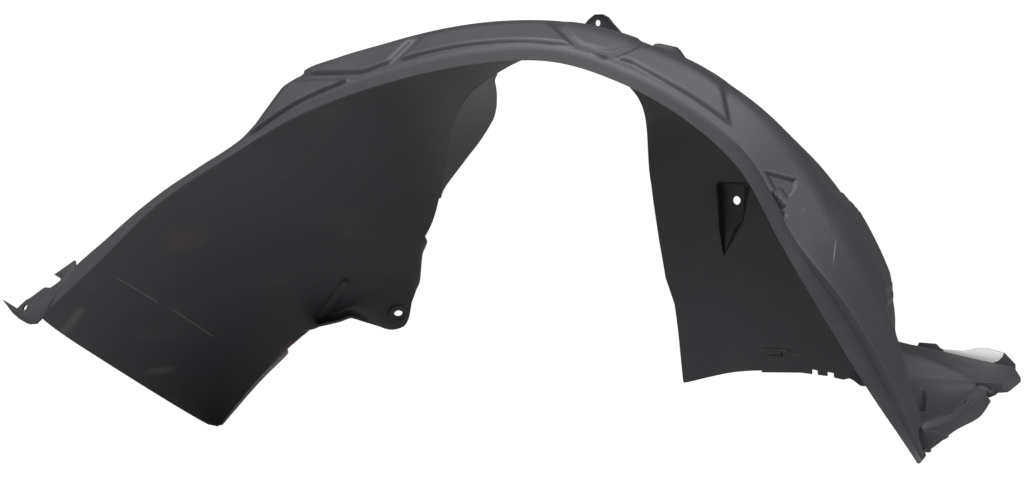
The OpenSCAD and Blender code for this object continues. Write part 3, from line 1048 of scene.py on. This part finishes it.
# %% The top lugs
LUG = (
    (70, 368), (82, 397), (84, 401), (88, 405), (94, 409), (101, 409), (107, 406), (111, 401),
    (123, 388), (127, 385), (132, 385), (134, 387), (137, 383), (152, 376), (150, 360),
)
LUG_Y, LUG_THICKNESS = 96.0, 4.0
LUG_BORDER, LUG_SINK = 2.0, 1.0
LUG_CLIP, LUG_CLIP_HOLE = (326.06, -186.75, 283.3), 6.0
FAR_LUG = ((146, 352), (149, 377), (155, 381), (172, 377), (175, 374), (180, 367), (184, 352))
FAR_LUG_Y, FAR_LUG_THICKNESS, FAR_LUG_ROUND = 98.0, 12.0, 0.6


def bordered(shell, width, depth):
    """Sink the face that looks outboard, and leave a border round it."""
    plate = bmesh.new()
    plate.from_mesh(shell.data)
    face = max(plate.faces, key=lambda side: -side.normal.y * side.calc_area())
    bmesh.ops.inset_region(plate, faces=[face], thickness=width * MM, depth=0.0)
    bmesh.ops.translate(plate, verts=face.verts[:], vec=(0.0, depth * MM, 0.0))
    plate.to_mesh(shell.data)
    plate.free()


lug_shell = side_plate("lug", LUG, LUG_Y, LUG_THICKNESS, SMALL_ROUND)
bordered(lug_shell, LUG_BORDER, LUG_SINK)
cut_from(lug_shell, drill(LUG_CLIP, (0, 1, 0), LUG_CLIP_HOLE))
shells += [
    lug_shell,
    side_plate("far_lug", FAR_LUG, FAR_LUG_Y, FAR_LUG_THICKNESS, FAR_LUG_ROUND),
]
print("shells", len(shells))

# %% [markdown]
# The shells overlap where they meet, as the CAD's pieces do, and become one object that stands for
# the liner. A Boolean union would show nothing more, because the plastic is opaque. All faces are
# shaded smooth, so the relief looks soft, and an Edge Split modifier keeps an edge sharp where its
# two faces turn by more than SHARP_EDGE.

# %% One moulding
SHARP_EDGE = math.radians(38)


def joined(name, parts, low, high):
    """One object from many shells, trimmed by the hair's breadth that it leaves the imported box."""
    whole = bmesh.new()
    for part in parts:
        settle(part)
        whole.from_mesh(part.data)
        bpy.data.objects.remove(part)
    for corner in whole.verts:
        corner.co = Vector(np.clip(corner.co, low, high))
    for face in whole.faces:
        face.smooth = True
    return shell_object(name, whole)


def in_mm(corners):
    return [[round(v * 1000, 1) for v in corner] for corner in corners]


moulding = joined("liner_moulding", shells, liner_low, liner_high)
corners = np.array([corner.co for corner in moulding.data.vertices])
print("packed liner's box in mm", in_mm((liner_low, liner_high)))
print("built liner's box in mm", in_mm((corners.min(axis=0), corners.max(axis=0))))
moulding.data.calc_loop_triangles()
print("triangles", len(moulding.data.loop_triangles))

# %% [markdown]
# The sticker is paper on the outboard face of the flap's lip. A patch of colour on the plastic
# would do from afar, but the sticker is a node of its own with its own material, so it is a thin
# plate that lies on the lip. Then each piece gets its material and takes its node's place.

# %% The sticker, and what each piece stands for
LABEL_OUTLINE = (
    (384, 100), (402, 99), (415, 102), (424, 102), (441, 98), (440, 95), (436, 91), (428, 88),
    (385, 97),
)
PAPER, PAPER_ROUND = 0.3, 0.05
paper = side_plate("paper", LABEL_OUTLINE, LABEL_LIP_Y - PAPER / 2, PAPER, PAPER_ROUND)
sticker = joined("sticker", [paper], *cad_box)


def dress(piece, material):
    piece.data.materials.append(material)
    split = piece.modifiers.new("keep sharp edges", "EDGE_SPLIT")
    split.split_angle = SHARP_EDGE


for piece, node, slot_name, material in (
    (moulding, "arch_liner", "liner", black_plastic),
    (sticker, "part_label", "label", bare_paper),
):
    dress(piece, material)
    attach(piece, "root")
    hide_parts(node)
    print(piece.name, "stands for", node)

# %% [markdown]
# The photograph is taken from outboard and a little ahead of the liner, from just above its
# middle and from nearly three metres away. The lens follows from how many pixels one metre
# covers at that distance, and the slight roll is the camera's own.

# %% Camera
AZIMUTH = math.radians(28)
ELEVATION = math.radians(3)
ROLL = math.radians(1.5)
DISTANCE = 2.9
FRAME_WIDTH_PX = 1024
PIXELS_PER_METRE = 1080
SENSOR = 36.0
AIM = Vector((0.2301, -0.1833, 0.0863))


def place_camera():
    forward = Vector(
        (
            -math.sin(AZIMUTH) * math.cos(ELEVATION),
            math.cos(AZIMUTH) * math.cos(ELEVATION),
            -math.sin(ELEVATION),
        )
    )
    level = Vector((math.cos(AZIMUTH), math.sin(AZIMUTH), 0.0))
    upright = level.cross(forward)
    right = level * math.cos(ROLL) - upright * math.sin(ROLL)
    up = level * math.sin(ROLL) + upright * math.cos(ROLL)
    lens = bpy.data.cameras.new("camera")
    lens.sensor_width = SENSOR
    lens.lens = PIXELS_PER_METRE * DISTANCE / FRAME_WIDTH_PX * SENSOR
    lens.clip_end = 50.0
    camera = bpy.data.objects.new("camera", lens)
    turn = Matrix((right, up, -forward)).transposed()
    camera.matrix_world = Matrix.Translation(AIM - forward * DISTANCE) @ turn.to_4x4()
    bpy.context.scene.collection.objects.link(camera)
    bpy.context.scene.camera = camera
    print("lens in mm", round(lens.lens, 1))


place_camera()

# %% [markdown]
# The floor is a plain pale sweep. A plain diffuse floor would show its edge and its shading, so it
# turns white for the camera through Light Path. It still shows a trace of the liner's soft shadow
# and bounces light up into the arch.

# %% Floor
FLOOR_GAP = 0.0005
FLOOR_HALF_SIDE = 12.0
FLOOR_TONE = (0.5, 0.5, 0.5, 1.0)
FLOOR_GLOW, FLOOR_GLOW_SHARE = 1.17, 0.85


def pale_floor():
    finish = Finish("pale floor")
    finish.set(Base_Color=FLOOR_TONE, Roughness=0.8)
    glow = finish.node(
        "ShaderNodeEmission", {}, {"Color": (1.0, 1.0, 1.0, 1.0), "Strength": FLOOR_GLOW}
    )
    share = finish.node("ShaderNodeLightPath", {}, {}, "Is Camera Ray") * FLOOR_GLOW_SHARE
    plain = Channel(finish, finish.shader.outputs[0])
    mixed = finish.node("ShaderNodeMixShader", {}, {0: share, 1: plain, 2: glow})
    output = next(n for n in finish.tree.nodes if n.type == "OUTPUT_MATERIAL")
    finish.tree.links.new(mixed.socket, output.inputs["Surface"])
    return finish.material


def lay_floor():
    sheet = bmesh.new()
    bmesh.ops.create_grid(sheet, x_segments=1, y_segments=1, size=FLOOR_HALF_SIDE)
    mesh = bpy.data.meshes.new("floor")
    sheet.to_mesh(mesh)
    sheet.free()
    floor = bpy.data.objects.new("floor", mesh)
    floor.location = (0.0, 0.0, liner_low.z - FLOOR_GAP)
    mesh.materials.append(pale_floor())
    bpy.context.scene.collection.objects.link(floor)
    print("floor's height in mm", round(floor.location.z * 1000, 1))


lay_floor()

# %% [markdown]
# The light is soft, so it comes from four large panels. The strongest hangs overhead and a little
# outboard, one stands high outboard behind it, and two weaker ones lift the ends. So the band is
# bright, and the inside of the arch falls away into shade. The room itself adds only a little.

# %% Light
SOFT_PANELS = (
    ("overhead panel", (0.1, -0.35, 1.0), 2.2, (3.0, 2.0), 56.0),
    ("high outboard panel", (-0.35, -0.85, 1.0), 2.8, (1.6, 1.6), 34.0),
    ("rear panel", (-1.0, -0.3, 0.6), 2.8, (1.5, 1.5), 6.0),
    ("front panel", (1.0, -0.25, 0.25), 2.5, (1.5, 1.5), 26.0),
)
ROOM_LEVEL, BACKDROP_LEVEL = 0.11, 1.1


def soft_panel(name, towards, distance, size, power):
    lamp = bpy.data.lights.new(name, "AREA")
    lamp.shape = "RECTANGLE"
    lamp.size = size[0]
    lamp.size_y = size[1]
    lamp.energy = power
    panel = bpy.data.objects.new(name, lamp)
    direction = Vector(towards).normalized()
    panel.location = AIM + direction * distance
    panel.rotation_euler = direction.to_track_quat("Z", "Y").to_euler()
    bpy.context.scene.collection.objects.link(panel)
    print(name, power, "W")


def room_light():
    """A dim room for the liner, and a white backdrop for the camera."""
    world = bpy.data.worlds.new("room")
    bpy.context.scene.world = world
    world.use_nodes = True
    tree = world.node_tree
    tree.nodes.clear()
    path = tree.nodes.new("ShaderNodeLightPath")
    level = tree.nodes.new("ShaderNodeMapRange")
    level.inputs["To Min"].default_value = ROOM_LEVEL
    level.inputs["To Max"].default_value = BACKDROP_LEVEL
    background = tree.nodes.new("ShaderNodeBackground")
    background.inputs["Color"].default_value = (1.0, 1.0, 1.0, 1.0)
    output = tree.nodes.new("ShaderNodeOutputWorld")
    tree.links.new(path.outputs["Is Camera Ray"], level.inputs["Value"])
    tree.links.new(level.outputs["Result"], background.inputs["Strength"])
    tree.links.new(background.outputs["Background"], output.inputs["Surface"])


for settings in SOFT_PANELS:
    soft_panel(*settings)
room_light()
bpy.context.scene.view_settings.view_transform = "Standard"
